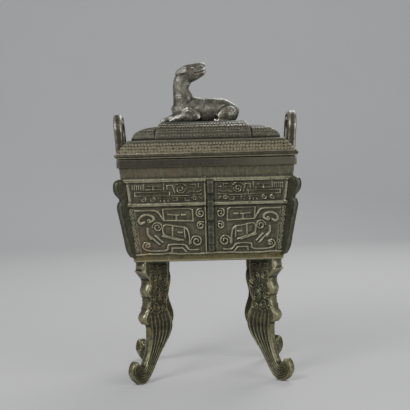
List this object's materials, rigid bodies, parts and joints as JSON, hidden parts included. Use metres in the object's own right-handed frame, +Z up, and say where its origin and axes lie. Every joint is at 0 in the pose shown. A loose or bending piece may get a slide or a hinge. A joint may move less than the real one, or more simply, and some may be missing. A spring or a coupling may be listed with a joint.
{
  "type": "square bronze ding",
  "caption": "Covered square ritual cauldron on curled plate legs, with upright loop handles, masked walls, notched flanges and a stepped lid topped by a resting deer.",
  "frame": {"origin": "on the ground, below the middle of the vessel; the four feet stand on Z = 0", "axes": "+Z up, the front wall faces -Y, the two handles stand on the short sides at -X and +X"},
  "size_m": [0.1912, 0.1528, 0.3271],
  "materials": {
    "cast_bronze": "dark olive-brown cast bronze with dirt in the grooves, worn light on the raised lines",
    "lid_bronze": "dark olive-grey cast bronze with buff encrustation and faint green corrosion"
  },
  "bodies": {
    "root": {"vessel": "cast_bronze", "lid": "lid_bronze"}
  },
  "joints": []
}
